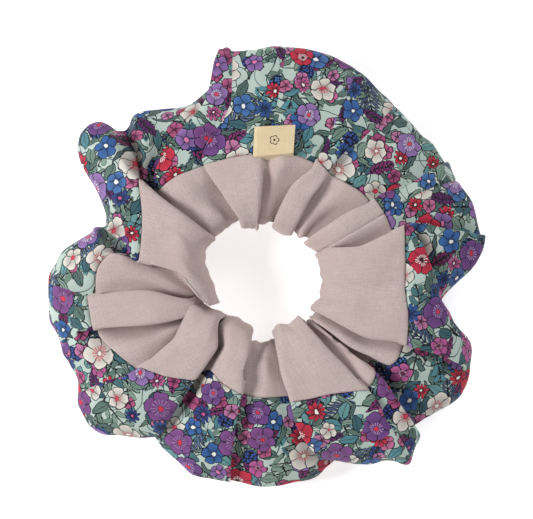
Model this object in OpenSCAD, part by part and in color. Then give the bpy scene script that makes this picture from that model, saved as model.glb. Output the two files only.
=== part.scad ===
// Two-fabric hair scrunchie, lying flat and relaxed.
// A tube of printed cotton and plain linen is gathered on a loop of elastic. Two ring seams join
// the fabrics, one on the upper face and one underneath, and a folded tape label is caught in the
// upper one. The cover is divided into gathers, so that the loop can be pulled open along X.
// Millimetres. The origin is the centre of the hair opening at mid-height, with +Z up.

/* [Opening and elastic] */
// Radius of the relaxed hair opening
opening_r = 21; // [17.5:0.5:26]
// Height of the straight wall round the opening
opening_h = 14; // [12:1:18]
// Width of the elastic tape
elastic_w = 8; // [5:0.5:10]
// Thickness of the elastic tape
elastic_t = 1; // [0.8:0.1:1.4]
// Room between the elastic and the cover
elastic_room = 1; // [0.5:0.1:2]
// Arc over which the two ends of the elastic lap, in degrees
lap_arc = 20; // [12:1:26]

/* [Cover] */
// Half of the height of the relaxed cover
half_h = 15; // [12.5:0.5:18]
// Thickness of the gathered cloth
cloth_t = 0.9; // [0.6:0.1:1.2]
// Gap between one gather and the next
gather_gap = 0.4; // [0.3:0.05:1]
// Radius of the ring seams that join the linen to the print
seam_r = 48; // [40:0.5:58]
// Radius of each gather's round end
puff_r = 22; // [20:0.5:26]
// Mean reach of the gathers from the centre
reach = 82; // [68:0.5:98]

/* [Seams] */
// Depth of the seam allowances inside the cover
allowance = 6; // [4:0.5:8]
// Room beside the label's ends in the slit between the two allowances
slit_room = 0.3; // [0.1:0.05:0.6]
// Height of the seam thread
thread_h = 0.5; // [0.3:0.1:0.8]
// Depth of the seam thread below the faces
thread_depth = 1; // [0.8:0.1:2]
// Length of one closing stitch
stitch_l = 2.5; // [1.5:0.5:4]
// Step from one closing stitch to the next
stitch_step = 3.5; // [3:0.5:5]
// Width of a closing stitch
stitch_w = 0.8; // [0.4:0.1:1.2]
// Depth to which a closing stitch sinks into the cloth
stitch_sink = 0.4; // [0.2:0.1:0.5]

/* [Label] */
// Width of the label
label_w = 15; // [10:0.5:18]
// Length of the label outside the seam
label_l = 11; // [8:0.5:14]
// Thickness of the folded label tape
label_t = 0.7; // [0.4:0.1:0.8]
// Place of the label's middle round the seam, from +Y towards +X, in degrees
label_turn = 4; // [-4:0.5:4]
// Room between the label and the cover under it
label_lift = 0.1; // [0.1:0.05:0.5]

/* [Hidden] */
$fn = 96;

// How much further than the mean each gather reaches, going round from +X.
REACH_EXTRA = [2, 4, 4, 6.5, -2, 3, -1.5, 1, -6.5, -6, 2, 4];

gathers = len(REACH_EXTRA);
pitch = 360 / gathers;
arc_step = 15;
tiny = 0.01;
far = 3 * reach;

elastic_r = opening_r + cloth_t + elastic_room;
crown_r = seam_r - 3.4;
slit_w = label_t + slit_room;
label_gather = 4;
closing_gather = 2;
lap_gather = 10;
label_x = seam_r * sin(label_turn);
axis_z = half_h + label_lift + label_t / 2;

zigzag_w = elastic_w * 0.7;
zigzag_t = 0.4;
zigzags = 6;

function two(k) = str(k < 10 ? "0" : "", k);
function angle_of(k) = (k - 1) * pitch;
function reach_of(k) = reach + REACH_EXTRA[k - 1];
function arc_points(c, r, from, to) =
    let (steps = ceil(abs(to - from) / arc_step))
        [for (i = [0:steps]) let (a = from + (to - from) * i / steps)
            c + r * [cos(a), sin(a)]];

KINDS = ["print_cover", "linen_cover", "elastic", "seam_thread"];

// The slice of space that one gather fills, centred on +X.
module slice(gap = gather_gap, half = pitch / 2) {
    translate([gap / 2 / sin(half), 0, -far / 2])
        linear_extrude(far)
            polygon([[0, 0], far * [cos(half), sin(half)], far * [cos(half), -sin(half)]]);
}

// Section of the cover near the opening: a straight inner wall, a rounded shoulder and a round end.
module ring_section(inset) {
    shoulder = half_h - opening_h / 2;
    r0 = opening_r + shoulder;
    polygon(concat(
        arc_points([crown_r, 0], half_h - inset, -90, 90),
        arc_points([r0, opening_h / 2], shoulder - inset, 90, 180),
        arc_points([r0, -opening_h / 2], shoulder - inset, 180, 270)
    ));
}

// Half of the section of a gather's round end: flat above and below, with a round rim.
module puff_section(inset) {
    polygon(concat(
        [[0, inset - half_h]],
        arc_points([puff_r - half_h, 0], half_h - inset, -90, 90),
        [[0, half_h - inset]]
    ));
}

// The outer form of one gather, or with an inset the hollow inside it.
module gather_form(k, inset = 0) {
    rotate_extrude() ring_section(inset);
    translate([reach_of(k) - puff_r, 0, 0])
        rotate_extrude() puff_section(inset);
}

// A ring of rectangular section.
module band(r, t, z0, z1) {
    translate([0, 0, z0]) difference() {
        cylinder(h = z1 - z0, r = r + t);
        translate([0, 0, -tiny]) cylinder(h = z1 - z0 + 2 * tiny, r = r);
    }
}

// The rings that the two allowances of one fabric fill, above and below.
module allowances(r) {
    band(r, cloth_t, half_h - allowance, half_h);
    band(r, cloth_t, -half_h, allowance - half_h);
}

// The hollow of a gather, less the allowances at radius r.
module hollow(k, r) {
    difference() {
        gather_form(k, cloth_t);
        allowances(r);
    }
}

// The rows of closing stitches on the upper face and the base, grown by a margin.
module stitch_rows(margin = 0) {
    first = opening_r + half_h;
    last = reach_of(closing_gather) - half_h;
    for (face = [-1, 1], r = [first:stitch_step:last])
        if (abs(r + stitch_l / 2 - seam_r) > stitch_l)
            translate([r - margin, -stitch_w / 2 - margin, face * half_h - stitch_sink])
                cube([stitch_l + 2 * margin, stitch_w + 2 * margin, 2 * stitch_sink]);
}

// Outer strip of printed cotton, from one seam round the outer fold to the other.
module print_cover(k) {
    inner = seam_r + slit_w / 2;
    color("mediumaquamarine") rotate(angle_of(k)) difference() {
        intersection() {
            gather_form(k);
            slice();
        }
        cylinder(h = far, r = inner, center = true);
        hollow(k, inner);
        if (k == closing_gather) stitch_rows();
    }
}

// Inner strip of plain linen, from one seam round the opening to the other.
module linen_cover(k) {
    outer = seam_r - slit_w / 2;
    color("rosybrown") rotate(angle_of(k)) difference() {
        intersection() {
            gather_form(k);
            slice();
            cylinder(h = far, r = outer, center = true);
        }
        hollow(k, outer - cloth_t);
        if (k == closing_gather) stitch_rows();
    }
}

// One length of the elastic tape, free inside the inner fold.
module elastic(k) {
    color("whitesmoke") rotate(angle_of(k)) intersection() {
        band(elastic_r, elastic_t, -elastic_w / 2, elastic_w / 2);
        slice();
    }
}

// Thread of the upper and lower ring seams, in the slit between the allowances.
module seam_thread(k) {
    top = half_h - thread_depth;
    color("thistle") rotate(angle_of(k)) intersection() {
        union() {
            band(seam_r - slit_w / 2, slit_w, top - thread_h, top);
            band(seam_r - slit_w / 2, slit_w, -top, thread_h - top);
        }
        slice();
    }
}

// The free end of the elastic, laid over its first length.
module elastic_lap() {
    color("gainsboro") rotate(angle_of(lap_gather)) intersection() {
        band(elastic_r + elastic_t, elastic_t, -elastic_w / 2, elastic_w / 2);
        slice(half = lap_arc / 2);
    }
}

// Zigzag stitching through the lap.
module elastic_zigzag() {
    r = elastic_r + 2 * elastic_t;
    span = lap_arc * 0.7;
    step = span / zigzags;
    run = 2 * r * sin(step / 2);
    slant = atan2(zigzag_w, run);
    color("lightgrey") rotate(angle_of(lap_gather))
        for (i = [0:zigzags - 1])
            rotate(step * (i + 0.5) - span / 2)
                translate([r + zigzag_t / 2, 0, 0])
                    rotate([(i % 2 == 0 ? 1 : -1) * slant, 0, 0])
                        cube([zigzag_t, norm([zigzag_w, run]), zigzag_t], center = true);
}

// Edge stitches that close the tube where its two ends meet.
module closing_stitches() {
    color("lavenderblush") rotate(angle_of(closing_gather)) intersection() {
        stitch_rows();
        cube([far, far, 2 * half_h], center = true);
    }
}

// Ends of the label tape, held in the upper seam between the allowances.
module label_tail() {
    half = asin(label_w / 2 / seam_r);
    color("wheat") rotate(90 - label_turn) intersection() {
        band(seam_r - label_t / 2, label_t, half_h - allowance, half_h);
        slice(half = half);
    }
}

// The part of the label outside the seam, which turns about its root.
module label_flap() {
    color("wheat") translate([label_x - label_w / 2, seam_r, axis_z]) {
        rotate([0, 90, 0]) cylinder(h = label_w, d = label_t);
        translate([0, 0, -label_t / 2]) cube([label_w, label_l, label_t]);
    }
}

for (k = [1:gathers]) {
    print_cover(k);
    linen_cover(k);
    elastic(k);
    seam_thread(k);
}
elastic_lap();
elastic_zigzag();
closing_stitches();
label_tail();
label_flap();
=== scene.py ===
import bpy
import math
import numpy as np
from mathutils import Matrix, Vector, noise


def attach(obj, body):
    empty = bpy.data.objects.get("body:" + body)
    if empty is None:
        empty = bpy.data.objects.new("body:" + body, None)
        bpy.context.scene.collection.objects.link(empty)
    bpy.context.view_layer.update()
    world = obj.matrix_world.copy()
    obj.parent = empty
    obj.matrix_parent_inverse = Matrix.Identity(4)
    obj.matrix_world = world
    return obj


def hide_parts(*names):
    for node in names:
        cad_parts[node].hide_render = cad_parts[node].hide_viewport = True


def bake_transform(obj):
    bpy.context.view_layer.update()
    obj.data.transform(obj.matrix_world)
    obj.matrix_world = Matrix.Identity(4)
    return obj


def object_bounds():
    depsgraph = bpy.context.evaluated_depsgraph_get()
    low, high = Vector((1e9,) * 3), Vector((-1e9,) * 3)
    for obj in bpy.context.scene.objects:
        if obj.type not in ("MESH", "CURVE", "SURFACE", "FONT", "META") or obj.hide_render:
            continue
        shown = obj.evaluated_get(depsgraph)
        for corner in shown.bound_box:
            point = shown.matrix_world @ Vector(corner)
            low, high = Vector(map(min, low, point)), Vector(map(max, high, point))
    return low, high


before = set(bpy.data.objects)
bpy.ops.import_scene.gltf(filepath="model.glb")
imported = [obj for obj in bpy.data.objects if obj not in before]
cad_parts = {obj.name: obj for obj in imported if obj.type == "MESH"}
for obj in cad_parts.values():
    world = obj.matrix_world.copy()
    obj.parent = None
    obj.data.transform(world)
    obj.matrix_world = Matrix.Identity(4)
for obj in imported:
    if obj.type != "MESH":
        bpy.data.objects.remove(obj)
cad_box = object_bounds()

# View. The scrunchie lies flat and is looked at from straight above, +Y up in the view, with
# the opening a little below the middle.
VIEW_CENTRE = (0.0017, 0.0088)
VIEW_WIDTH = 0.1995
CAMERA_HEIGHT = 0.8
SENSOR = 36.0
bpy.ops.object.select_all(action="DESELECT")
bpy.ops.object.camera_add(location=(*VIEW_CENTRE, CAMERA_HEIGHT), rotation=(0, 0, 0))
camera = bpy.context.object
camera.name = "camera"
camera.data.sensor_width = SENSOR
camera.data.lens = SENSOR * CAMERA_HEIGHT / VIEW_WIDTH
bpy.context.scene.camera = camera

# Floor. A plain white table that the scrunchie lies on, at the level of its base.
TABLE_SIZE, TABLE_WHITE, TABLE_GLOW = 6.0, 0.93, 0.56
bpy.ops.mesh.primitive_plane_add(size=TABLE_SIZE, location=(0, 0, cad_box[0][2]))
table = bpy.context.object
table.name = "table"
table_paint = bpy.data.materials.new("table_paint")
table_paint.use_nodes = True
table_shader = table_paint.node_tree.nodes["Principled BSDF"]
table_shader.inputs["Base Color"].default_value = (TABLE_WHITE, TABLE_WHITE, TABLE_WHITE, 1)
table_shader.inputs["Roughness"].default_value = 0.9
table_shader.inputs["Emission Color"].default_value = (1, 1, 1, 1)
table_shader.inputs["Emission Strength"].default_value = TABLE_GLOW
table.data.materials.append(table_paint)

# Light. A soft box low on the left, a weaker one from the upper right, a faint one from the
# bottom edge of the view, and an even white sky.
SKY_LIGHT = 0.19


def soft_box(name, place, size, power):
    bpy.ops.object.select_all(action="DESELECT")
    bpy.ops.object.light_add(type="AREA", location=place)
    lamp = bpy.context.object
    lamp.name = name
    lamp.data.shape = "SQUARE"
    lamp.data.size = size
    lamp.data.energy = power
    lamp.rotation_euler = (-Vector(place)).to_track_quat("-Z", "Y").to_euler()


soft_box("key_light", (-0.93, 0.02, 0.7), size=0.4, power=12.0)
soft_box("fill_light", (0.66, 0.66, 0.7), size=0.6, power=5.6)
soft_box("front_light", (0.2, -0.93, 0.7), size=0.6, power=2.8)
sky = bpy.data.worlds.new("sky")
sky.use_nodes = True
sky.node_tree.nodes["Background"].inputs["Color"].default_value = (1, 1, 1, 1)
sky.node_tree.nodes["Background"].inputs["Strength"].default_value = SKY_LIGHT
bpy.context.scene.world = sky
bpy.context.scene.view_settings.view_transform = "Standard"

# Cloth tube. The two strips are sewn into one tube and gathered on the elastic, and the tube
# falls in pleats. Each row of FOLDS is one line of a pleat, from the opening to the outer fold:
# an edge, the turn tucked under it, or the crown of the cloth between two edges. A row holds the
# line's angles (degrees) at the opening, in the middle of the linen, at the seam, in the middle
# of the print and at the outer fold; its radii (mm) at the opening, the seam and the outer fold;
# and its heights (mm) at the same five places. The rows go round from +X towards +Y.
MM = 0.001
FOLDS = np.array([
    # the wide panel on the right, over both of its neighbours, its print turned back over itself
    (331, 332, 336.8, 338, 337.5, 20.5, 57.7, 84.5, 10, 14, 13.5, 11, -1),
    (340, 344, 347, 345, 344, 21, 55, 81, 11, 14.5, 14, 10.5, -1.5),
    (352, 356, 358, 353, 347, 21.5, 52.5, 76, 10.5, 13.6, 13.4, 10.5, -2),
    (366, 367, 370, 360, 349.5, 22, 53.2, 71.5, 11, 14.5, 14, 11, -2),
    (389, 381, 382, 366.5, 351, 23.5, 56.2, 69, 10, 13.8, 14, 11.3, -1),
    (384, 375, 377, 366, 352.5, 24, 54, 67.5, 7, 8.5, 9, 7.2, -3),
    (385, 376, 378, 367, 355, 24, 54, 68.5, 6.5, 8, 8.5, 6.8, -3),
    (386, 377, 379.5, 370, 364, 24, 54.5, 79, 6.8, 8.3, 10, 8.9, -1),
    (387, 378.5, 381, 374.5, 369, 24, 55.3, 84, 7, 8.6, 11.5, 9.6, 0),
    (387.5, 380, 382, 376.5, 372, 24, 56, 85.5, 7, 9, 12.3, 10, 0),
    (385, 375, 376.5, 373, 371, 24, 53, 84, 6, 7.5, 8, 6.5, -1),
    # the closed pleat, with the stitched line along it
    (386, 384, 384, 382, 380, 23.5, 51.5, 84, 8.5, 11, 11, 8.5, -1),
    (388.3, 389, 389.1, 389.1, 387.3, 23, 51.7, 83, 9.8, 13.2, 13, 9.6, -0.5),
    (388.9, 389.7, 389.7, 389.7, 387.8, 23.2, 51.5, 82.6, 9.2, 12.4, 12.3, 9, -0.8),
    (389.5, 390.5, 390.4, 390.3, 388.4, 23, 51.7, 83, 9.8, 13.4, 13.2, 9.8, -0.5),
    (404, 400, 397, 394.5, 393, 21.8, 51.6, 83, 10, 14, 13, 9.5, -1),
    (398, 393, 392, 392, 391.5, 24, 50, 82, 6, 7, 8, 6.5, -2),
    # the hollow after it
    (408, 405, 402, 400, 399, 23, 49.5, 82.5, 6.5, 8.5, 10.5, 8, -2),
    (414, 413, 410, 406, 405, 22, 48, 82, 8.5, 11, 12, 9.5, -1),
    # the narrow bright pleat, over both
    (423, 423.5, 420.5, 415, 413, 23.5, 47, 83, 6, 7.5, 10.5, 9.5, -1),
    (419.5, 420, 419, 416.5, 415.5, 21, 47.3, 84, 10, 14, 13, 10, -1),
    (428, 427, 422.5, 420, 419.5, 20.5, 48.5, 85, 11, 15, 13.5, 10.3, -0.5),
    (438, 434.5, 426, 424, 424, 21.5, 49.6, 86.5, 10, 14, 13.2, 10.2, 0),
    (431, 428.5, 424.8, 425.5, 426, 24, 48.5, 86.5, 6, 7.5, 11, 10, -0.2),
    # the hollow under the label
    (440.5, 437.5, 433, 430, 430, 22.5, 48.5, 88, 7, 9.5, 12, 10.4, 0),
    (447, 444, 441, 438, 437, 21.5, 47.8, 90, 8.5, 11.5, 13.8, 10.8, 0.5),
    (458, 454.5, 448, 445, 444, 22.5, 47.2, 88.5, 6.5, 8.5, 12, 10.6, 0.5),
    # the smooth panel left of the label
    (453.5, 450.8, 450, 448, 448, 20, 47, 88, 10.5, 14, 14.2, 10.8, 0.5),
    (461, 462, 460, 453, 452, 20.5, 47.3, 87, 11, 14.8, 14.2, 11, 0.5),
    (470, 474, 476, 458, 455.5, 22, 48.3, 88, 10, 13.8, 13.2, 10.8, 0.5),
    (463, 467, 474, 459.5, 457, 24.5, 48, 88, 6.5, 7.5, 11.5, 10.6, 0.5),
    # the low panel beside it, and the wide ruffle's free edge
    (473, 478, 482, 462.5, 458, 24, 49, 89, 7, 9, 12, 10.5, 0.5),
    (484, 488, 490, 465.5, 459.3, 24, 50.5, 89, 8.5, 11.5, 12.5, 10.5, 0.5),
    (499, 501, 498, 467.5, 460.5, 25, 51, 89, 7, 8.5, 10.5, 10, 1),
    (497, 499, 493, 464, 462, 26, 50, 78, 5, 6, 6, 5, -2),
    # the print that is folded away between the ruffle and the flap
    (498.5, 500.5, 498.5, 478, 472, 26, 52, 72.5, 4.5, 5.5, 6, 4.5, -5),
    (499, 501, 499, 486, 480, 26, 52.5, 75.5, 4.5, 5.5, 5.5, 4.5, -5),
    (499.5, 501.5, 499.3, 491.5, 487.2, 26, 53.5, 79.5, 5, 6, 7, 7.5, -2),
    (500.5, 502.5, 500.8, 494.5, 492, 26, 54, 77, 4.5, 5, 5, 2.5, -5),
    # the flap, turned up over both of its neighbours
    (497.3, 499, 499.8, 497.5, 496, 24.5, 58.9, 86, 10, 14.5, 14.5, 11, 1),
    (510, 507, 508.5, 502, 500, 24.5, 51.5, 88, 11, 15, 14, 10.5, 1),
    (523, 513, 518, 508, 506, 22, 47.5, 82, 11.5, 15, 14, 10, 0),
    (565, 533, 529.8, 518, 517.3, 17.5, 45.9, 62, 10.5, 14.5, 14, 9.5, 0),
    (546, 523, 524, 523, 521, 22, 48, 63, 6, 8, 6, 3, -4),
    # the print under the flap, and the small turned tip
    (544, 529, 530.5, 525, 522, 23, 49, 65.5, 5.5, 8, 6.5, 4, -4),
    (546, 533, 528.6, 526.5, 523.7, 23, 55.8, 67.5, 6, 10, 11.5, 8, -2),
    (549, 538, 534.5, 534, 533, 23, 60.6, 77, 6, 10, 11.5, 8.5, -1),
    # the level panel on the left, over both
    (553, 545.5, 546, 542, 540, 24, 62, 80, 5, 7.5, 9.5, 8.8, -1),
    (551.6, 543, 544, 544, 544, 23.5, 64, 80.5, 9, 13, 13, 9.5, -1),
    (558, 552, 549.5, 550, 550, 23.5, 64, 80, 9.8, 13.8, 13.5, 9.5, -1),
    (565.7, 560, 555.5, 555, 555, 25, 64, 79, 9, 13.5, 13.5, 9.3, -1),
    (560, 555, 552.5, 556, 557, 26, 63, 79, 4.5, 6, 9, 9, -1),
    # the deep hollow below it
    (564, 561, 558, 559, 560, 26, 63, 78.5, 4.5, 6, 8, 8.5, -1),
    (568, 567.5, 565.5, 566, 566, 25, 59.2, 78, 5.5, 9.5, 12, 9.5, -1),
    (570, 577, 576.5, 572, 571, 24.5, 55, 80, 4.5, 6.5, 10.5, 9.5, -1),
    # the wide panel at the lower left, over both
    (556, 571.8, 574, 574, 573.5, 24.3, 54.8, 82, 9.5, 14, 13.5, 9.8, -1),
    (569, 582, 583, 583, 582, 20, 49.5, 83, 11, 14.8, 13.8, 9.8, -1),
    (579, 590, 590.5, 590, 589, 17.5, 45.5, 75.5, 11, 14.5, 13.5, 9.5, -1),
    (582.5, 595.5, 595.5, 595.4, 596, 17.3, 42.6, 69, 10, 13.5, 13, 8.5, -1),
    (577, 588, 587.5, 591, 594, 22, 41, 69, 5.5, 6, 6, 3.5, -3),
    (582.5, 596, 595.5, 597.5, 598.5, 22, 39.5, 71, 5.5, 6, 6, 4, -4),
    # the narrow bright panel at the bottom, over the hollow
    (585, 598.5, 599.5, 600, 600.5, 17.5, 37.2, 73, 9, 12, 11, 7.5, -3),
    (603, 608, 609, 610, 609, 15.5, 39.3, 76, 10.5, 13.8, 12.5, 8.5, -2),
    (619, 619, 619.8, 620, 621, 18.3, 41.3, 75.5, 10, 13.2, 12.3, 8, -2),
    (611, 612, 614, 615, 618, 22, 40.5, 75, 6, 6.5, 6.5, 4, -4),
    # the hollow at the bottom
    (622, 622, 622.5, 623, 624, 21.5, 41.5, 76, 6.5, 8, 8, 5, -4),
    (631, 631, 631, 631.5, 633, 21.5, 42, 76.5, 8, 9.5, 9, 6, -4),
    (639, 640, 641, 642, 644, 20.5, 42.5, 76, 7, 8, 8, 5, -5),
    (648, 649, 650, 651, 654, 22, 44, 71, 6, 6.5, 6.5, 4, -5),
    # the wide panel at the lower right, over both
    (642.3, 642.5, 643.6, 644.8, 648, 18, 44.5, 70, 10, 14, 13.3, 9.5, -2),
    (652, 652, 652, 655, 657, 16.5, 45.7, 75, 11, 14.8, 14, 10, -1),
    (664, 663, 662, 663, 665, 17.5, 47.8, 82, 11.2, 15, 14, 10.3, -1),
    (678, 675.4, 675, 671, 669, 18.5, 55.2, 87, 10, 13.8, 13.5, 10.2, 0),
    (673, 669.5, 672.5, 672, 670.5, 22.5, 54, 86, 6.5, 8, 10.5, 9.8, -0.5),
    # the strip beside it, and the dark hollow
    (679.5, 677, 677.5, 675, 673.5, 22.5, 54.5, 83.5, 7.5, 10.5, 12, 9.8, -0.5),
    (682, 683, 682, 679, 676.3, 22, 52.9, 81.5, 8.5, 11.5, 12, 9.8, -1),
    (681, 680.5, 681.5, 675, 674.5, 23.5, 49.5, 78, 5, 5.5, 5.5, 4.5, -3),
    (684, 685, 685.5, 682, 679, 23.5, 49.5, 79, 5, 5.5, 5.5, 4, -4),
    (685, 684.8, 687.7, 687, 685, 22, 56, 81.5, 9, 12, 11.5, 7.5, -3),
    (688.5, 689, 692, 692, 691, 22, 57, 86, 9, 11.5, 11, 7.5, -3),
    (695, 697, 701, 701, 696, 23.5, 56, 85.5, 6.5, 7.5, 7.5, 6, -3),
], float)
# The rows where one pleat's cloth ends and the next one's begins, deep in a tuck.
TUCKS = (5, 10, 13, 16, 19, 23, 26, 30, 34, 38, 43, 47, 51, 54, 59, 64, 68, 73, 76, 80)
COLUMNS, ROWS = 540, 76
# The underside's heights, as a share of the top's, and how much lower its print hangs.
BASE_SHARE, BASE_DROP = 0.97, 2.5
# The rounded shoulder at the opening, and where the print's stations lie from seam to outer fold.
SHOULDER, PRINT_SHARE, RIM_SHARE = 2.6, 0.52, 0.9
RIM_TURN, RIM_RISE = 0.8, 0.42
SHORTEST_STEP = 0.05


def through(points, knots, places):
    """Smooth runs through the stations of all the fold lines at once, with no overshoot."""
    slope = np.diff(points, axis=0) / np.diff(knots)[:, None, None]
    gap = np.diff(knots)[:, None, None]
    before, after = slope[:-1], slope[1:]
    w1, w2 = 2 * gap[1:] + gap[:-1], gap[1:] + 2 * gap[:-1]
    same = before * after > 0
    tangent = np.zeros_like(points)
    tangent[0], tangent[-1] = slope[0], slope[-1]
    tangent[1:-1] = np.where(same, (w1 + w2) / (w1 / np.where(same, before, 1)
                                                + w2 / np.where(same, after, 1)), 0)
    i = np.clip(np.searchsorted(knots, places, "right") - 1, 0, len(knots) - 2)
    width = (knots[i + 1] - knots[i])[:, None, None]
    t = (places - knots[i])[:, None, None] / width
    t2, t3 = t * t, t * t * t
    return ((2 * t3 - 3 * t2 + 1) * points[i] + (t3 - 2 * t2 + t) * width * tangent[i]
            + (3 * t2 - 2 * t3) * points[i + 1] + (t3 - t2) * width * tangent[i + 1])


def round_off(lines, counts):
    """Each row's points on the fold lines, joined by one closed smooth curve."""
    a, b, c, d = (np.roll(lines, s, axis=1) for s in (1, 0, -1, -2))
    ab, bc, cd = (np.sqrt(np.maximum(np.linalg.norm(q - p, axis=2), SHORTEST_STEP))[:, :, None]
                  for p, q in ((a, b), (b, c), (c, d)))
    m1 = bc * ((b - a) / ab - (c - a) / (ab + bc) + (c - b) / bc)
    m2 = bc * ((c - b) / bc - (d - b) / (bc + cd) + (d - c) / cd)
    runs = []
    for k, n in enumerate(counts):
        t = (np.arange(n) / n)[None, :, None]
        t2, t3 = t * t, t * t * t
        runs.append((2 * t3 - 3 * t2 + 1) * b[:, k, None] + (t3 - 2 * t2 + t) * m1[:, k, None]
                    + (3 * t2 - 2 * t3) * c[:, k, None] + (t3 - t2) * m2[:, k, None])
    return np.concatenate(runs, axis=1)


def stations(face):
    """The fold lines' stations on the upper face (1) or the lower (-1), from the opening's wall
    to the outer fold: angle, radius, height."""
    (a_hole, a_linen, a_seam, a_print, a_fold, r_hole, r_seam, r_fold,
     z_hole, z_linen, z_seam, z_print, z_fold) = FOLDS.T
    side = 1 if face > 0 else -BASE_SHARE
    z_side = z_print if face > 0 else -(z_print + BASE_DROP)
    return {
        "wall": (a_hole, r_hole, 0 * z_hole),
        "shoulder": (a_hole, r_hole + SHOULDER, z_hole * side),
        "linen": (a_linen, (r_hole + r_seam) / 2, z_linen * side),
        "seam": (a_seam, r_seam, z_seam * side),
        "print": (a_print, r_seam + PRINT_SHARE * (r_fold - r_seam), z_side),
        "rim": (RIM_TURN * a_fold + (1 - RIM_TURN) * a_print,
                r_seam + RIM_SHARE * (r_fold - r_seam), z_fold + RIM_RISE * (z_side - z_fold)),
        "fold": (a_fold, r_fold, z_fold),
    }


def turned(station, face, out, up):
    """A station moved outwards, and towards the outside of its face."""
    angle, radius, height = station
    return angle, radius + out, height + up * face


def flat_xyz(lines):
    turn = np.radians(lines[..., 0])
    return np.stack([lines[..., 1] * np.cos(turn), lines[..., 1] * np.sin(turn), lines[..., 2]],
                    axis=-1)


def lay(names):
    """The strip's points, row by row and round, in mm."""
    points = np.array([np.array(s).T for s in names])
    steps = np.linalg.norm(np.diff(flat_xyz(points), axis=0), axis=2).mean(axis=1)
    knots = np.concatenate([[0], np.cumsum(steps)])
    shares = np.maximum(2, np.round(ROWS * steps / knots[-1])).astype(int)
    places = np.concatenate([np.linspace(knots[i], knots[i + 1], n, endpoint=False)
                             for i, n in enumerate(shares)] + [knots[-1:]])
    lines = flat_xyz(through(points, knots, places))
    chords = np.linalg.norm(np.roll(lines, -1, axis=1) - lines, axis=2).mean(axis=0)
    counts = np.maximum(3, np.round(COLUMNS * chords / chords.sum())).astype(int)
    return round_off(lines, counts), counts, places


top, base = stations(1), stations(-1)

# Linen strip. Plain dusty-pink linen, cut 700 by 62 mm and folded round the opening, with its long
# edges turned in and sewn to the print's on both faces. The elastic inside gathers it, and it lies
# in soft dents over the pleats and fine creases at the opening.
LINEN_CUT, LINEN_THICK = (0.70, 0.062), 0.0005
# A turned edge, from the raw edge inside the tube: how far outwards from the seam and how far
# towards the outside of the face, in mm.
LINEN_EDGE = ((-5, -1.4), (0.1, -0.8), (0.25, 0), (-1.3, 0.35))
HEM_RUN = 6
# The small folds: how high they stand, how long they are round the strip and across it (mm), and
# their layer of noise; and how far each kind reaches from the seam, the elastic or the rim.
LOOSE_RIPPLE, DENT, FINE_RIPPLE = (0.85, 9.5, 36, 0), (0.9, 10, 12, 5), (0.28, 5, 12, 1)
ELASTIC_CREASE, RIM_CRINKLE = (0.9, 3.6, 40, 2), (0.8, 5.5, 25, 3)
SEAM_PUCKER = (0.22, 3.2, 9, 4)
LAYER_STEP = 17
SEAM_REACH, ELASTIC_REACH, RIM_REACH = 5, 11, 12
# The cloth's lowest height, just clear of the table, and how far apart two points merge (m).
TABLE_LEVEL, WELD = -14.97, 1e-7
# Where on the printed cloth each pleat starts: the seed and the spread of the draws (mm).
CUT_SEED, CUT_SPREAD = 5, 400


def facing(grid):
    """Unit normals of a strip's points."""
    across = np.gradient(grid, axis=0)
    along = np.roll(grid, -1, axis=1) - np.roll(grid, 1, axis=1)
    normal = np.cross(along, across)
    return normal / np.maximum(np.linalg.norm(normal, axis=2, keepdims=True), 1e-9)


def edge(face, steps):
    """The stations of a turned edge at the seam, from its raw edge to the open cloth."""
    seam = (top if face > 0 else base)["seam"]
    return [turned(seam, face, out, up) for out, up in steps]


def gathered(grid, places, wall_row):
    """The strip with its small folds: fine gathers by the elastic, soft ripples and dents over the
    pleats, puckers along the seam and a crinkled outer edge. wall_row is the row against the
    elastic, or None on the strip that goes round the outside. It lies on the table, not in it."""
    chord = np.linalg.norm(np.roll(grid, -1, axis=1) - grid, axis=2).mean(axis=0)
    turn = 2 * math.pi * np.cumsum(chord) / chord.sum()
    girth = chord.sum() / (2 * math.pi)
    seam_row = int(np.searchsorted(places, HEM_RUN))
    seams = np.array([places[seam_row], places[-seam_row]])
    height = np.zeros(grid.shape[:2])
    for i, place in enumerate(places):
        loose = 1 - math.exp(-(np.abs(seams - place).min() / SEAM_REACH) ** 2)
        near_wall, rim = 0, 0
        if wall_row is None:
            rim = math.exp(-((place - places[-1] / 2) / RIM_REACH) ** 2)
        else:
            near_wall = math.exp(-abs(place - places[wall_row]) / ELASTIC_REACH)
        for j, a in enumerate(turn):
            c, s = girth * math.cos(a), girth * math.sin(a)
            height[i, j] = sum(
                share * high * noise.noise(
                    Vector((c / long, s / long, place / across + layer * LAYER_STEP)))
                for share, (high, long, across, layer) in (
                    (loose, LOOSE_RIPPLE), (loose, DENT), (loose, FINE_RIPPLE),
                    (near_wall, ELASTIC_CREASE), (rim, RIM_CRINKLE),
                    (1 - loose, SEAM_PUCKER)))
    grid = grid + facing(grid) * height[..., None]
    grid[..., 2] = np.maximum(grid[..., 2], TABLE_LEVEL)
    return grid


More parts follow.
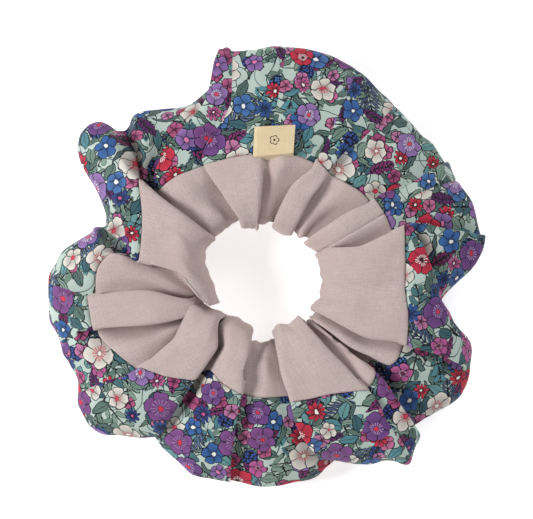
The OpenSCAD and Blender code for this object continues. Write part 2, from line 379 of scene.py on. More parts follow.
def sewn_strip(name, grid, counts, thickness, outward, anchor_share):
    """One strip as a closed ring of cloth with its own thickness. outward is 1 where the middle
    row's right side looks away from the opening, and -1 where it looks into it. The cloth's grain
    is measured from the row at anchor_share of the way across."""
    rows, columns = grid.shape[0] - 1, grid.shape[1]
    anchor = int((rows + 1) * anchor_share)
    bpy.ops.object.select_all(action="DESELECT")
    bpy.ops.mesh.primitive_grid_add(x_subdivisions=columns, y_subdivisions=rows, size=1)
    strip = bpy.context.object
    strip.name = strip.data.name = name
    mesh = strip.data
    ring = np.concatenate([grid, grid[:, :1]], axis=1)
    mesh.vertices.foreach_set("co", (ring * MM).ravel())
    # each pleat's cloth is laid out flat about the pleat's middle, and the next pleat's starts
    # elsewhere on the cloth, past what is hidden in the tuck
    ends = np.cumsum([0, *counts])
    starts = [ends[t] for t in TUCKS]
    pleat = np.searchsorted(starts, np.arange(columns), "right") % len(TUCKS)
    middles = []
    for k in range(len(TUCKS)):
        here = grid[rows // 2, pleat == k]
        middles.append(math.atan2(here[:, 1].mean(), here[:, 0].mean()))
    middles = np.array(middles)
    loops = np.zeros(len(mesh.loops), int)
    mesh.loops.foreach_get("vertex_index", loops)
    face_column = (loops % (columns + 1)).reshape(-1, 4).min(axis=1)
    loop_pleat = np.repeat(pleat[face_column], 4)
    shifts = np.random.default_rng(CUT_SEED).uniform(0, CUT_SPREAD, (len(TUCKS), 2))
    u, v = np.zeros(len(loops)), np.zeros(len(loops))
    for k, middle in enumerate(middles):
        out = ring[..., 0] * math.cos(middle) + ring[..., 1] * math.sin(middle)
        side = ring[..., 1] * math.cos(middle) - ring[..., 0] * math.sin(middle)
        steps = np.hypot(np.diff(out, axis=0), np.diff(ring[..., 2], axis=0))
        run = np.concatenate([np.zeros((1, columns + 1)), np.cumsum(steps, axis=0)])
        run += out[anchor] - run[anchor]
        here = loop_pleat == k
        u[here] = side.ravel()[loops[here]] + shifts[k, 0]
        v[here] = run.ravel()[loops[here]] + shifts[k, 1]
    mesh.uv_layers.active.data.foreach_set("uv", (np.stack([u, v], axis=1) * MM).ravel())
    bpy.ops.object.mode_set(mode="EDIT")
    bpy.ops.mesh.select_all(action="SELECT")
    bpy.ops.mesh.remove_doubles(threshold=WELD)
    bpy.ops.object.mode_set(mode="OBJECT")
    middle = [mesh.polygons[(rows // 2) * columns + j] for j in range(columns)]
    if outward * sum(f.normal.xy.dot(f.center.xy) for f in middle) < 0:
        bpy.ops.object.mode_set(mode="EDIT")
        bpy.ops.mesh.select_all(action="SELECT")
        bpy.ops.mesh.flip_normals()
        bpy.ops.object.mode_set(mode="OBJECT")
    mesh.update()
    wall = strip.modifiers.new("thickness", "SOLIDIFY")
    wall.thickness = thickness
    wall.offset = -1
    bpy.ops.object.modifier_apply(modifier=wall.name)
    bpy.ops.object.shade_smooth()
    return strip


def dyed(red, green, blue):
    """A dye from its 0-255 swatch."""
    def light(c):
        c /= 255
        return c / 12.92 if c <= 0.04045 else ((c + 0.055) / 1.055) ** 2.4
    return light(red), light(green), light(blue), 1.0


class Thread:
    """A number that runs through a material, with arithmetic that adds Math nodes."""

    def __init__(self, socket):
        self.socket, self.tree = socket, socket.id_data

    def calc(self, operation, *others, clamp=False):
        node = self.tree.nodes.new("ShaderNodeMath")
        node.operation, node.use_clamp = operation, clamp
        for slot, value in zip(node.inputs, (self, *others)):
            if isinstance(value, Thread):
                self.tree.links.new(value.socket, slot)
            else:
                slot.default_value = value
        return Thread(node.outputs[0])

    def __add__(self, other):
        return self.calc("ADD", other)

    def __sub__(self, other):
        return self.calc("SUBTRACT", other)

    def __rsub__(self, other):
        return self.calc("MULTIPLY_ADD", -1, other)

    def __mul__(self, other):
        return self.calc("MULTIPLY", other)

    def __truediv__(self, other):
        return self.calc("DIVIDE", other)

    def __pow__(self, other):
        return self.calc("POWER", other)

    def __abs__(self):
        return self.calc("ABSOLUTE")

    def inked(self, softness=0.00012):
        """1 where the number is above zero, with a soft printed edge."""
        return self.calc("DIVIDE", softness, clamp=True)

    __radd__, __rmul__ = __add__, __mul__


def new_finish(name, roughness, sheen):
    paint = bpy.data.materials.new(name)
    paint.use_nodes = True
    shader = paint.node_tree.nodes["Principled BSDF"]
    shader.inputs["Roughness"].default_value = roughness
    shader.inputs["Sheen Weight"].default_value = sheen
    shader.inputs["Specular IOR Level"].default_value = 0.25
    return paint, paint.node_tree, shader


def add_node(tree, kind, **settings):
    node = tree.nodes.new("ShaderNode" + kind)
    for key, value in settings.items():
        setattr(node, key, value)
    return node


def over(tree, below, above, mask):
    """A colour laid over another where mask is 1."""
    mix = add_node(tree, "Mix", data_type="RGBA")
    tree.links.new(mask.socket, mix.inputs[0])
    for slot, colour in ((mix.inputs[6], below), (mix.inputs[7], above)):
        if isinstance(colour, tuple):
            slot.default_value = colour
        else:
            tree.links.new(colour, slot)
    return mix.outputs[2]


def cloth_place(tree, turn=0.0, shift=0.0, stretch=(1, 1, 1)):
    """A place on the flat cloth, in metres."""
    uv = add_node(tree, "UVMap", uv_map="UVMap")
    mapping = add_node(tree, "Mapping")
    mapping.inputs["Location"].default_value = (shift, shift * 0.7, 0)
    mapping.inputs["Rotation"].default_value = (0, 0, turn)
    mapping.inputs["Scale"].default_value = stretch
    tree.links.new(uv.outputs["UV"], mapping.inputs["Vector"])
    return mapping.outputs["Vector"]


def soft_noise(tree, place, size, detail=2.0):
    """Soft uneven cloud from 0 to 1, with blots of about the given size."""
    noise_node = add_node(tree, "TexNoise", noise_dimensions="2D")
    noise_node.inputs["Scale"].default_value = 1 / size
    noise_node.inputs["Detail"].default_value = detail
    tree.links.new(place, noise_node.inputs["Vector"])
    return Thread(noise_node.outputs[0])


# The threads lie 0.52 mm apart, each with slubs some eight times as long as it is wide.
THREAD_PITCH, SLUB = 0.00052, 0.12
linen_weave, tree, shader = new_finish("linen_weave", roughness=0.85, sheen=0.25)
place = add_node(tree, "SeparateXYZ")
tree.links.new(cloth_place(tree), place.inputs[0])
wander = soft_noise(tree, cloth_place(tree, turn=0.4, shift=2), size=0.0045) * (THREAD_PITCH * 3)
u, v = Thread(place.outputs[0]) + wander, Thread(place.outputs[1]) + wander
warp_slub = soft_noise(tree, cloth_place(tree, stretch=(1, SLUB, 1)), THREAD_PITCH * 1.2, 3)
weft_slub = soft_noise(tree, cloth_place(tree, shift=3, stretch=(SLUB, 1, 1)), THREAD_PITCH * 1.2,
                       3)
warp = abs((u * (math.pi / THREAD_PITCH)).calc("SINE"))
weft = abs((v * (math.pi / THREAD_PITCH)).calc("SINE"))
cross = warp.calc("MULTIPLY", weft)
speck = soft_noise(tree, cloth_place(tree, turn=0.7, shift=1), THREAD_PITCH * 0.9, detail=1)
tone = over(tree, dyed(152, 131, 127), dyed(228, 213, 209),
            warp_slub * 0.3 + weft_slub * 0.25 + speck * 0.45)
tone = over(tree, tone, dyed(136, 108, 104), (1 - cross) * 0.1)
tone = over(tree, tone, dyed(196, 172, 168),
            (soft_noise(tree, cloth_place(tree, turn=0.2, shift=5), size=0.02) - 0.4).inked(0.3)
            * 0.45)
tree.links.new(tone, shader.inputs["Base Color"])
bump = add_node(tree, "Bump")
bump.inputs["Strength"].default_value = 0.35
bump.inputs["Distance"].default_value = 0.00025
tree.links.new((cross + warp_slub + weft_slub).socket, bump.inputs["Height"])
tree.links.new(bump.outputs[0], shader.inputs["Normal"])
linen_grid, linen_counts, linen_places = lay(
    edge(-1, LINEN_EDGE)
    + [base["linen"], base["shoulder"], top["wall"], top["shoulder"], top["linen"]]
    + edge(1, LINEN_EDGE)[::-1])
linen_grid = gathered(linen_grid, linen_places, len(linen_places) // 2)
linen_panel = sewn_strip("linen_panel", linen_grid, linen_counts, LINEN_THICK, -1,
                         anchor_share=0.78)
linen_panel.data.materials.append(linen_weave)
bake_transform(linen_panel)
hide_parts(*[f"linen_cover_{k:02d}" for k in range(1, 13)])

# Printed strip. Fine cotton lawn with a dense small floral print, cut 700 by 85 mm and folded
# round the outer edge of the tube. Its long edges are turned in and sewn to the linen's, and
# its free fold is crinkled.
PRINT_CUT, LAWN_THICK = (0.70, 0.085), 0.0003
PRINT_EDGE = ((-5, -2.4), (-0.2, -1.5), (0.45, -0.5), (1.8, 0.05))
# The printed ink: its dye, and how far the drawn outlines stand out round a motif.
INK = dyed(8, 9, 20)
LINE = 0.00036
# A hand's shake: how far apart its turns are, and how far it strays.
SHAKE_STEP, SHAKE = 0.0034, 0.0019
SAGE = [(106, 132, 120), (88, 114, 106), (124, 148, 136), (78, 102, 98)]
TEAL = [(80, 132, 142), (98, 144, 146), (70, 110, 116), (56, 92, 102)]
SLATE = [(68, 84, 118), (84, 102, 134)]
PLUM = [(104, 34, 84), (88, 32, 92), (120, 42, 100)]
ROSE = [(184, 90, 134), (196, 108, 150), (170, 74, 122), (192, 120, 164)]
CRIMSON, SNOW, BLUE, NAVY = (196, 46, 70), (220, 214, 205), (48, 84, 146), (30, 40, 90)


def dye_lot(tree, pick, colours):
    """One of several dyes, picked by a number from 0 to 1."""
    ramp = add_node(tree, "ValToRGB")
    ramp.color_ramp.interpolation = "CONSTANT"
    for k, colour in enumerate(colours):
        stop = (ramp.color_ramp.elements[k] if k < 2
                else ramp.color_ramp.elements.new(k / len(colours)))
        stop.position, stop.color = k / len(colours), dyed(*colour)
    tree.links.new(pick.socket, ramp.inputs[0])
    return ramp.outputs[0]


def drawn_place(tree, turn):
    """A place on the cloth, shaken a little, as lines drawn by hand are."""
    place = cloth_place(tree, turn, turn * 0.05)
    shake = add_node(tree, "TexNoise", noise_dimensions="2D")
    shake.inputs["Scale"].default_value = 1 / SHAKE_STEP
    tree.links.new(place, shake.inputs["Vector"])
    centred = add_node(tree, "VectorMath", operation="MULTIPLY_ADD")
    tree.links.new(shake.outputs["Color"], centred.inputs[0])
    centred.inputs[1].default_value = (SHAKE, SHAKE, 0)
    tree.links.new(place, centred.inputs[2])
    return centred.outputs[0]


def scatter(tree, spacing, turn, jitter=0.7):
    """Motifs scattered over the cloth: where a point is from its motif's middle, and three
    random numbers for the motif."""
    place = drawn_place(tree, turn)
    cells = add_node(tree, "TexVoronoi", voronoi_dimensions="2D", feature="F1")
    cells.inputs["Scale"].default_value = 1 / spacing
    cells.inputs["Randomness"].default_value = jitter
    tree.links.new(place, cells.inputs["Vector"])
    away = add_node(tree, "VectorMath", operation="SUBTRACT")
    tree.links.new(place, away.inputs[0])
    tree.links.new(cells.outputs["Position"], away.inputs[1])
    xy = add_node(tree, "SeparateXYZ")
    tree.links.new(away.outputs[0], xy.inputs[0])
    picks = add_node(tree, "SeparateColor")
    tree.links.new(cells.outputs["Color"], picks.inputs[0])
    return (Thread(xy.outputs[0]), Thread(xy.outputs[1]),
            [Thread(out) for out in picks.outputs[:3]])


def blooms(tree, ground, spacing, turn, radius, petals, dyes, eyes, rays=None, share=1.0,
           notch=0.3, jitter=0.6, eye_size=0.2, ray_size=0.5):
    """Open flowers with rounded petals, an eye, and rays or dashes out of the eye."""
    x, y, (pick, spin, size) = scatter(tree, spacing, turn, jitter)
    out = (x * x + y * y).calc("SQRT")
    angle = y.calc("ARCTAN2", x) + spin * math.tau
    lobe = abs((angle * (petals / 2)).calc("COSINE"))
    here = size.calc("LESS_THAN", share)
    nod = (angle + size * 9).calc("COSINE") * 0.11 + 1
    reach = (size * (0.35 / share) + 0.78) * radius * here * nod
    edge = reach * (lobe ** 0.5 * notch + (1 - notch)) - out
    flower = over(tree, ground, INK, (edge + LINE).inked() * here)
    petal = over(tree, dye_lot(tree, pick, dyes), INK, (1 - out / reach) * 0.6)
    flower = over(tree, flower, petal, edge.inked())
    split = (0.00024 - lobe * out * (2 / petals)).inked()
    flower = over(tree, flower, INK, split * edge.inked() * 0.9)
    if rays:
        spoke = abs((angle * (petals * 1.5)).calc("SINE")) - 0.72
        burst = (reach * ray_size * (size * 5).calc("FRACT").calc("MAXIMUM", 0.7) - out).inked()
        flower = over(tree, flower, dye_lot(tree, pick, rays),
                      spoke.inked(0.25) * burst * edge.inked())
    flower = over(tree, flower, INK, (reach * eye_size + LINE * 0.5 - out).inked() * here * 0.8)
    return over(tree, flower, dye_lot(tree, pick, eyes), (reach * eye_size - out).inked() * here)


def sprays(tree, ground, spacing, turn, length, width, pitch, leaf, dyes, share, stem=0.00018):
    """Straight stems with pairs of leaves or buds along them, each with a dark edge."""
    x, y, (pick, spin, size) = scatter(tree, spacing, turn, 0.8)
    lean = spin * math.tau
    c, s = lean.calc("COSINE"), lean.calc("SINE")
    along, across = x * c + y * s, abs(y * c - x * s)
    here = size.calc("LESS_THAN", share)
    wide = (1 - (along * along) / length ** 2).calc("MAXIMUM", 0.02) * width
    beside = abs(((along - across) / pitch).calc("FRACT") - 0.5) * (pitch * 0.7)
    middle = (across / wide) * 2 - 1
    edge = (1 - middle * middle) * leaf - beside
    within = (length - abs(along)).inked() * here
    ground = over(tree, ground, INK, (stem + LINE * 0.5 - across).inked() * within)
    ground = over(tree, ground, INK, (edge + LINE * 0.8).inked() * within)
    return over(tree, ground, dye_lot(tree, pick, dyes), edge.inked() * within)


def leaves(tree, ground, spacing, turn, length, width, dyes, share=1.0, bend=0.0, veins=0.0):
    """Single pointed leaves with a dark edge, a midrib and, on the broad ones, side veins."""
    x, y, (pick, spin, size) = scatter(tree, spacing, turn, 0.85)
    lean = spin * math.tau
    c, s = lean.calc("COSINE"), lean.calc("SINE")
    along = x * c + y * s
    across = abs(y * c - x * s + along * along * bend)
    here = size.calc("LESS_THAN", share)
    edge = (1 - (along * along) / length ** 2) * width - across
    ground = over(tree, ground, INK, (edge + LINE).inked() * here)
    ground = over(tree, ground, dye_lot(tree, pick, dyes), edge.inked() * here)
    if veins:
        rib = abs(((along - across) / veins).calc("FRACT") - 0.5) * veins
        ground = over(tree, ground, INK, (0.0001 - rib).inked(0.0001) * edge.inked() * here * 0.7)
    return over(tree, ground, INK, (0.00013 - across).inked(0.00008) * edge.inked() * here)


def globes(tree, ground, spacing, turn, radius, bead, dyes, share):
    """Round heads of small beads."""
    x, y, (pick, spin, size) = scatter(tree, spacing, turn, 0.6)
    inside = (radius - (x * x + y * y).calc("SQRT")).inked(0.0003) * size.calc("LESS_THAN", share)
    bx, by, _ = scatter(tree, bead, turn + 1, 0.5)
    dot = bead * 0.42 - (bx * bx + by * by).calc("SQRT")
    ground = over(tree, ground, INK, inside)
    return over(tree, ground, dye_lot(tree, pick, dyes), dot.inked() * inside)


lawn_print, tree, shader = new_finish("lawn_print", roughness=0.75, sheen=0.08)
ground = over(tree, dyed(188, 204, 197), dyed(168, 186, 178),
              soft_noise(tree, cloth_place(tree), size=0.02))
# fine dark stems that wander over the ground
for turn, size in ((0.3, 0.012), (1.4, 0.014)):
    stem = 0.011 - abs(soft_noise(tree, cloth_place(tree, turn, turn), size, 0) - 0.5)
    ground = over(tree, ground, dyed(44, 62, 66), stem.inked(0.004))
# leafy sprays, thistles, long blades, veined leaves, spires of buds and beaded heads
ground = sprays(tree, ground, spacing=0.0150, turn=0.5, length=0.0086, width=0.0046,
                pitch=0.0046, leaf=0.00105, dyes=SAGE, share=0.9)
ground = sprays(tree, ground, spacing=0.0130, turn=1.7, length=0.0064, width=0.0036,
                pitch=0.0040, leaf=0.00115, dyes=TEAL + SAGE[:3], share=0.7)
ground = sprays(tree, ground, spacing=0.0190, turn=2.6, length=0.0072, width=0.0050,
                pitch=0.0020, leaf=0.00042, dyes=SLATE, share=0.45)
ground = leaves(tree, ground, spacing=0.0098, turn=2.3, length=0.0062, width=0.0009, dyes=SAGE,
                share=0.8, bend=60)
ground = leaves(tree, ground, spacing=0.0086, turn=1.9, length=0.0038, width=0.0018,
                dyes=SAGE + TEAL, share=0.7, veins=0.0011)
ground = sprays(tree, ground, spacing=0.0130, turn=3.3, length=0.0062, width=0.0023,
                pitch=0.0017, leaf=0.00052, dyes=PLUM, share=0.5)
ground = globes(tree, ground, spacing=0.0200, turn=5.2, radius=0.0032, bead=0.0012,
                dyes=[(50, 76, 146), (62, 100, 160)], share=0.55)
# small rose flowers, daisies, five-petalled flowers and the largest ones
ground = blooms(tree, ground, spacing=0.0072, turn=2.7, radius=0.0028, petals=5, dyes=ROSE,
                eyes=[(96, 34, 72), (80, 30, 64)], share=0.3, notch=0.2, eye_size=0.16)
ground = blooms(tree, ground, spacing=0.0124, turn=0.9, radius=0.0034, petals=9,
                dyes=[CRIMSON, BLUE, (192, 92, 146), (44, 64, 128), CRIMSON],
                eyes=[(240, 232, 222), NAVY, (236, 222, 226), (190, 80, 140), (240, 232, 226)],
                share=0.5, notch=0.58)
ground = blooms(tree, ground, spacing=0.0128, turn=2.2, radius=0.0040, petals=5,
                dyes=[(56, 100, 164), SNOW, (182, 92, 148), (70, 112, 172), (140, 104, 166)],
                eyes=[(232, 230, 224), (200, 54, 80), (86, 30, 66), (228, 230, 232),
                      (214, 120, 164)],
                rays=[(26, 34, 76), SNOW, (230, 200, 214), NAVY, (40, 40, 90)],
                share=0.42, notch=0.34, ray_size=0.45)
ground = blooms(tree, ground, spacing=0.0152, turn=1.2, radius=0.0054, petals=5,
                dyes=[(112, 70, 134), CRIMSON, SNOW, (146, 114, 172), (124, 74, 134), SNOW],
                eyes=[CRIMSON, (60, 30, 40), SNOW, (200, 60, 88), CRIMSON, (196, 60, 84)],
                rays=[(178, 140, 192), (240, 234, 230), CRIMSON, (222, 206, 230),
                      (150, 110, 160), CRIMSON],
                share=0.62, notch=0.26, eye_size=0.17, ray_size=0.6)
tree.links.new(ground, shader.inputs["Base Color"])
print_grid, print_counts, print_places = lay(
    edge(1, PRINT_EDGE)
    + [top["print"], top["rim"], top["fold"], base["rim"], base["print"]]
    + edge(-1, PRINT_EDGE)[::-1])
print_grid = gathered(print_grid, print_places, None)
floral_panel = sewn_strip("floral_panel", print_grid, print_counts, LAWN_THICK, 1,
                          anchor_share=0.25)
floral_panel.data.materials.append(lawn_print)
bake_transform(floral_panel)
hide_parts(*[f"print_cover_{k:02d}" for k in range(1, 13)])

# Threads. Polyester sewing thread: a seam round each face that joins the two strips, hidden in
# the turned edges, and the line of stitches that closes the tube, down in a tuck.
# Each kind's stitch length, step from stitch to stitch, and thickness.
SEAM_STITCH, SEAM_STEP, SEAM_THREAD = 0.0019, 0.0025, 0.00022
CLOSING_STITCH, CLOSING_STEP, CLOSING_THREAD = 0.0017, 0.0023, 0.00018
CLOSING_ROW, CLOSING_POINTS = 13, 12
# A stitch's ends, as a share of its length, taper to half and dip into the cloth.
END_SHARE, TAPER, DIP = 0.4, 0.5, 0.8
# The seam's stitches lie inside and below the edge, and the closing line's just on the cloth (mm).
SEAM_IN, SEAM_DOWN, CLOSING_UP = -0.3, -0.7, 0.15


def sew(name, path, stitch, step, thick, closed):
    """A row of stitches along a path in mm."""
    bpy.ops.object.select_all(action="DESELECT")
    bpy.ops.mesh.primitive_cylinder_add(vertices=6, radius=thick, depth=stitch,
                                        rotation=(0, math.pi / 2, 0))
    row = bpy.context.object
    row.name = row.data.name = name
    bpy.ops.object.transform_apply(location=True, rotation=True, scale=True)
    bpy.ops.object.mode_set(mode="EDIT")
    bpy.ops.mesh.select_all(action="SELECT")
    bpy.ops.mesh.subdivide(number_cuts=1)
    bpy.ops.object.mode_set(mode="OBJECT")
    for v in row.data.vertices:
        if abs(v.co.x) > stitch * END_SHARE:
            v.co.y *= TAPER
            v.co.z = v.co.z * TAPER - thick * DIP
    guide_data = bpy.data.curves.new(name + "_path", "CURVE")
    guide_data.dimensions = "3D"
    run = guide_data.splines.new("POLY")
    run.points.add(len(path) - 1)
    run.points.foreach_set("co", np.c_[np.asarray(path) * MM, np.ones(len(path))].ravel())
    run.use_cyclic_u = closed
    guide = bpy.data.objects.new(name + "_path", guide_data)
    bpy.context.collection.objects.link(guide)
    bpy.context.view_layer.update()
    stretch = np.linalg.norm(np.diff(path, axis=0), axis=1).sum() * MM
    rows = row.modifiers.new("row", "ARRAY")
    rows.use_relative_offset, rows.use_constant_offset = False, True
    rows.constant_offset_displace = (step, 0, 0)
    rows.count = int(stretch / step)
    follow = row.modifiers.new("follow", "CURVE")
    follow.object = guide
    for modifier in ("row", "follow"):
        bpy.ops.object.modifier_apply(modifier=modifier)
    bpy.data.objects.remove(guide)
    bpy.ops.object.shade_smooth()
    return row


def seam_path(face, out, up):
    """A line round one face's seam, moved outwards and up by so many mm."""
    line = flat_xyz(np.array(turned((top if face > 0 else base)["seam"], face, out, up)).T)
    path = round_off(line[None], linen_counts)[0]
    return np.concatenate([path, path[:1]])


def crease_path(face, up):
    """The closing line, from the opening to the outer fold."""
    marks = top if face > 0 else base
    line = np.array([np.array(turned(marks[s], face, 0, up)).T[CLOSING_ROW]
                     for s in ("shoulder", "linen", "seam", "print", "rim")])
    line = flat_xyz(line)
    return np.concatenate([np.linspace(a, b, CLOSING_POINTS, endpoint=False)
                           for a, b in zip(line[:-1], line[1:])])


thread, tree, shader = new_finish("sewing_thread", roughness=0.6, sheen=0.2)
twist = soft_noise(tree, add_node(tree, "TexCoord").outputs["Object"], size=0.0004, detail=1)
tree.links.new(over(tree, dyed(176, 156, 152), dyed(214, 200, 196), twist),
               shader.inputs["Base Color"])
seams = [sew(f"seam_{side}", seam_path(face, SEAM_IN, SEAM_DOWN), SEAM_STITCH, SEAM_STEP,
             SEAM_THREAD, True) for side, face in (("upper", 1), ("lower", -1))]
closing = sew("closing_line", crease_path(1, CLOSING_UP), CLOSING_STITCH, CLOSING_STEP,
              CLOSING_THREAD, False)
for piece, nodes in ((seams[0], [f"seam_thread_{k:02d}" for k in range(1, 13)]),
                     (seams[1], []), (closing, ["closing_stitches"])):
    piece.data.materials.append(thread)
    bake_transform(piece)
    if nodes:
        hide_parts(*nodes)

# Elastic. A flat woven rubber band in a ring inside the opening's wall, its ends lapped and sewn
# with a zigzag. It is white, with ribs across it, and the cloth hides it.
BAND_WIDE, BAND_THICK, BAND_ROWS, BAND_STEPS, LAP_STEPS = 0.008, 0.001, 8, 216, 16
# How far the band stays clear of the cloth's wall (mm), how close its ribs are, how round its
# edges are, and where its two ends lap and how far the upper one stands out, in thicknesses.
WALL_GAP, RIBS, EDGE_ROUND = 1.0, 420, 0.3
LAP_FROM, LAP_TO, LAP_LIFT = math.radians(260), math.radians(280), 1.05
# The zigzag's corners, how far in it stays from the lap's ends, how far out it lies from the
# wall, how far it swings, and its stitch, step and thickness.
ZIG_CORNERS, ZIG_INSET, ZIG_OUT, ZIG_SWING = 13, 0.06, 1.7, 2.6
ZIG_STITCH, ZIG_STEP, ZIG_THREAD = 0.0050, 0.0053, 0.00022


def wall_reach(turn):
    """How far out the elastic sits: a soft oval just outside the cloth's wall."""
    wall = round_off(flat_xyz(np.array(top["wall"]).T)[None], linen_counts)[0]
    reach, where = np.hypot(wall[:, 0], wall[:, 1]), np.arctan2(wall[:, 1], wall[:, 0])

    def basis(t):
        return np.stack([np.ones_like(t), np.cos(t), np.sin(t), np.cos(2 * t), np.sin(2 * t)],
                        axis=-1)

    fit = np.linalg.lstsq(basis(where), reach, rcond=None)[0]
    spare = (reach - basis(where) @ fit).max()
    return (basis(turn) @ fit + spare + WALL_GAP) * MM


def band(name, first, last, lift, steps, closed):
    """A length of the elastic from one angle to another, standing in the opening's wall."""
    bpy.ops.object.select_all(action="DESELECT")
    bpy.ops.mesh.primitive_grid_add(x_subdivisions=steps, y_subdivisions=BAND_ROWS, size=1)
    ring = bpy.context.object
    ring.name = ring.data.name = name
    turns = np.linspace(first, last, steps + 1)
    reach = wall_reach(turns) + lift
    for vertex in ring.data.vertices:
        across, along = divmod(vertex.index, steps + 1)
        turn = turns[along % steps] if closed else turns[along]
        out = reach[along % steps] if closed else reach[along]
        vertex.co = (out * math.cos(turn), out * math.sin(turn),
                     (across / BAND_ROWS - 0.5) * BAND_WIDE)
    bpy.ops.object.mode_set(mode="EDIT")
    bpy.ops.mesh.select_all(action="SELECT")
    bpy.ops.mesh.remove_doubles(threshold=WELD)
    bpy.ops.object.mode_set(mode="OBJECT")
    thick = ring.modifiers.new("thick", "SOLIDIFY")
    thick.thickness, thick.offset = BAND_THICK, 0
    soft = ring.modifiers.new("soft", "BEVEL")
    soft.width, soft.segments = BAND_THICK * EDGE_ROUND, 2
    for modifier in ("thick", "soft"):
        bpy.ops.object.modifier_apply(modifier=modifier)
    bpy.ops.object.mode_set(mode="EDIT")
    bpy.ops.mesh.select_all(action="SELECT")
    bpy.ops.mesh.normals_make_consistent(inside=False)
    bpy.ops.object.mode_set(mode="OBJECT")
    bpy.ops.object.shade_smooth_by_angle(angle=0.6)
    return ring


woven_rubber, tree, shader = new_finish("woven_elastic", roughness=0.8, sheen=0.1)
rib = add_node(tree, "TexWave", wave_type="BANDS", bands_direction="Z")
rib.inputs["Scale"].default_value = RIBS
tree.links.new(add_node(tree, "TexCoord").outputs["Object"], rib.inputs["Vector"])
tree.links.new(over(tree, dyed(205, 202, 196), dyed(240, 238, 234), Thread(rib.outputs["Fac"])),
               shader.inputs["Base Color"])
ribs = add_node(tree, "Bump")
ribs.inputs["Distance"].default_value = 0.0002
tree.links.new(rib.outputs["Fac"], ribs.inputs["Height"])
tree.links.new(ribs.outputs[0], shader.inputs["Normal"])
ring = band("elastic_band", 0, math.tau, 0, BAND_STEPS, True)
lap = band("elastic_end", LAP_FROM, LAP_TO, BAND_THICK * LAP_LIFT, LAP_STEPS, False)
zigzag_turns = np.linspace(LAP_FROM + ZIG_INSET, LAP_TO - ZIG_INSET, ZIG_CORNERS)
zigzag_reach = wall_reach(zigzag_turns) / MM + ZIG_OUT
zigzag = sew("elastic_stitches", np.stack([
    zigzag_reach * np.cos(zigzag_turns), zigzag_reach * np.sin(zigzag_turns),
    np.where(np.arange(ZIG_CORNERS) % 2 == 0, -ZIG_SWING, ZIG_SWING)], axis=1),
    ZIG_STITCH, ZIG_STEP, ZIG_THREAD, False)
for piece, paint, nodes, slot in (
        (ring, woven_rubber, [f"elastic_{k:02d}" for k in range(1, 13)], "elastic"),
        (lap, woven_rubber, ["elastic_lap"], "elastic"),
        (zigzag, thread, ["elastic_zigzag"], "thread")):
    piece.data.materials.append(paint)
    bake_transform(piece)
    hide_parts(*nodes)

# Label. A cream satin tape, folded on its left side, with its cut ends caught in the top seam
# between the strips. Its face is plain but for a small woven flower.
# The corners of the part outside the seam (mm), its heights at the seam and the tip, and how
# far its cut ends run down into the seam.
FLAP = np.array([(-3.2, 46.6), (11.6, 48.0), (12.3, 58.3), (-2.6, 57.6)])
FLAP_Z, FLAP_TIP_Z, END_RUN, END_Z = 15.0, 14.3, 3.2, 9.6
PLY_GAP, TAPE, TAPE_STEPS, FLAP_ROWS, END_ROWS = 0.55, 0.00022, 44, 14, 6
# The round fold, as a share of the width; how much narrower the lower ply is; and the tape's
# droop, wave and lifted fold.
FOLD_SHARE, PLY_SHORT = 0.08, 0.02
DROOP, WAVE, WAVE_TURN, WAVE_START, FOLD_LIFT = 1.3, 0.18, 3.0, 0.6, 0.25
# The woven flower: its middle, radius, outline and eye.
MARK_X, MARK_Y, MARK_R, MARK_LINE, MARK_EYE = 0.0046, 0.0527, 0.0019, 0.00035, 0.0005


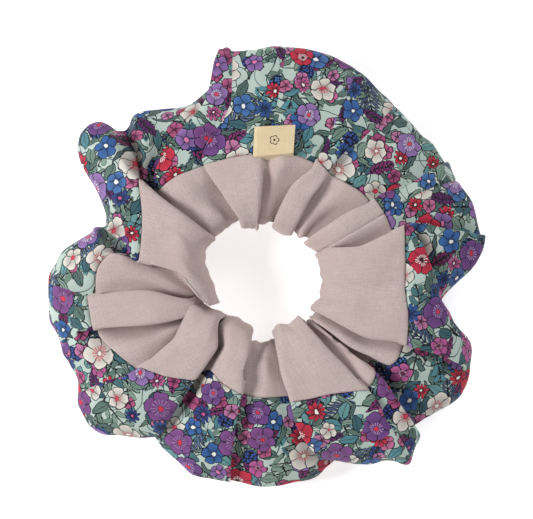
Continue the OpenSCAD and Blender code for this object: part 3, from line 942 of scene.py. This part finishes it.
def tape(name, low, high, low_z, high_z, rows):
    """A folded length of tape: two plies joined by a round fold along their left side."""
    bpy.ops.object.select_all(action="DESELECT")
    bpy.ops.mesh.primitive_grid_add(x_subdivisions=TAPE_STEPS, y_subdivisions=rows, size=1)
    piece = bpy.context.object
    piece.name = piece.data.name = name
    share = np.linspace(0, 1, TAPE_STEPS + 1)
    side = np.where(share < 0.5, -1, 1)
    inward = np.abs(share - 0.5) * 2
    bend = np.clip(inward / FOLD_SHARE, 0, 1)
    height = PLY_GAP / 2 * side * np.sin(bend * math.pi / 2)
    for vertex in piece.data.vertices:
        across, along = divmod(vertex.index, TAPE_STEPS + 1)
        t = across / rows
        left, right = low[0] + (high[0] - low[0]) * t, low[1] + (high[1] - low[1]) * t
        s = inward[along] * (1 - PLY_SHORT * (side[along] < 0))
        x, y = left + (right - left) * s
        wave = WAVE * math.sin(s * WAVE_TURN + WAVE_START) * t + FOLD_LIFT * t * (1 - s)
        z = low_z + (high_z - low_z) * t ** DROOP + height[along] + wave
        vertex.co = Vector((x, y, z)) * MM
    wall = piece.modifiers.new("tape", "SOLIDIFY")
    wall.thickness, wall.offset = TAPE, 0
    bpy.ops.object.modifier_apply(modifier=wall.name)
    bpy.ops.object.mode_set(mode="EDIT")
    bpy.ops.mesh.select_all(action="SELECT")
    bpy.ops.mesh.normals_make_consistent(inside=False)
    bpy.ops.object.mode_set(mode="OBJECT")
    bpy.ops.object.shade_smooth_by_angle(angle=0.7)
    return piece


# The satin's threads, up and across.
WARP_PITCH, WEFT_PITCH = 0.0005, 0.0004
satin_tape, tree, shader = new_finish("label_tape", roughness=0.55, sheen=0.3)
coordinates = add_node(tree, "TexCoord").outputs["Object"]
split = add_node(tree, "SeparateXYZ")
tree.links.new(coordinates, split.inputs[0])
across = abs((Thread(split.outputs[1]) * (math.pi / WEFT_PITCH)).calc("SINE"))
along = abs((Thread(split.outputs[0]) * (math.pi / WARP_PITCH)).calc("SINE"))
blot = soft_noise(tree, coordinates, size=0.004)
tone = over(tree, dyed(206, 182, 140), dyed(232, 214, 178), across * 0.5 + blot * 0.5)
x, y = Thread(split.outputs[0]) - MARK_X, Thread(split.outputs[1]) - MARK_Y
out = (x * x + y * y).calc("SQRT")
lobe = abs((y.calc("ARCTAN2", x) * 2.5).calc("COSINE"))
petal = (lobe ** 0.5 * 0.4 + 0.6) * MARK_R - out
woven = petal.inked() * (1 - (petal - MARK_LINE).inked()) + (MARK_EYE - out).inked()
tone = over(tree, tone, dyed(44, 36, 34), woven.calc("MINIMUM", 1.0))
tree.links.new(tone, shader.inputs["Base Color"])
weave = add_node(tree, "Bump")
weave.inputs["Strength"].default_value = 0.4
weave.inputs["Distance"].default_value = 0.0001
tree.links.new((across + along).socket, weave.inputs["Height"])
tree.links.new(weave.outputs[0], shader.inputs["Normal"])
flap = tape("label_front", (FLAP[0], FLAP[1]), (FLAP[3], FLAP[2]), FLAP_Z, FLAP_TIP_Z, FLAP_ROWS)
tail = tape("label_end", (FLAP[0] - (0, END_RUN), FLAP[1] - (0, END_RUN)), (FLAP[0], FLAP[1]),
            END_Z, FLAP_Z, END_ROWS)
for piece, node in ((flap, "label_flap"), (tail, "label_tail")):
    piece.data.materials.append(satin_tape)
    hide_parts(node)
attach(flap, "label")
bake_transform(tail)
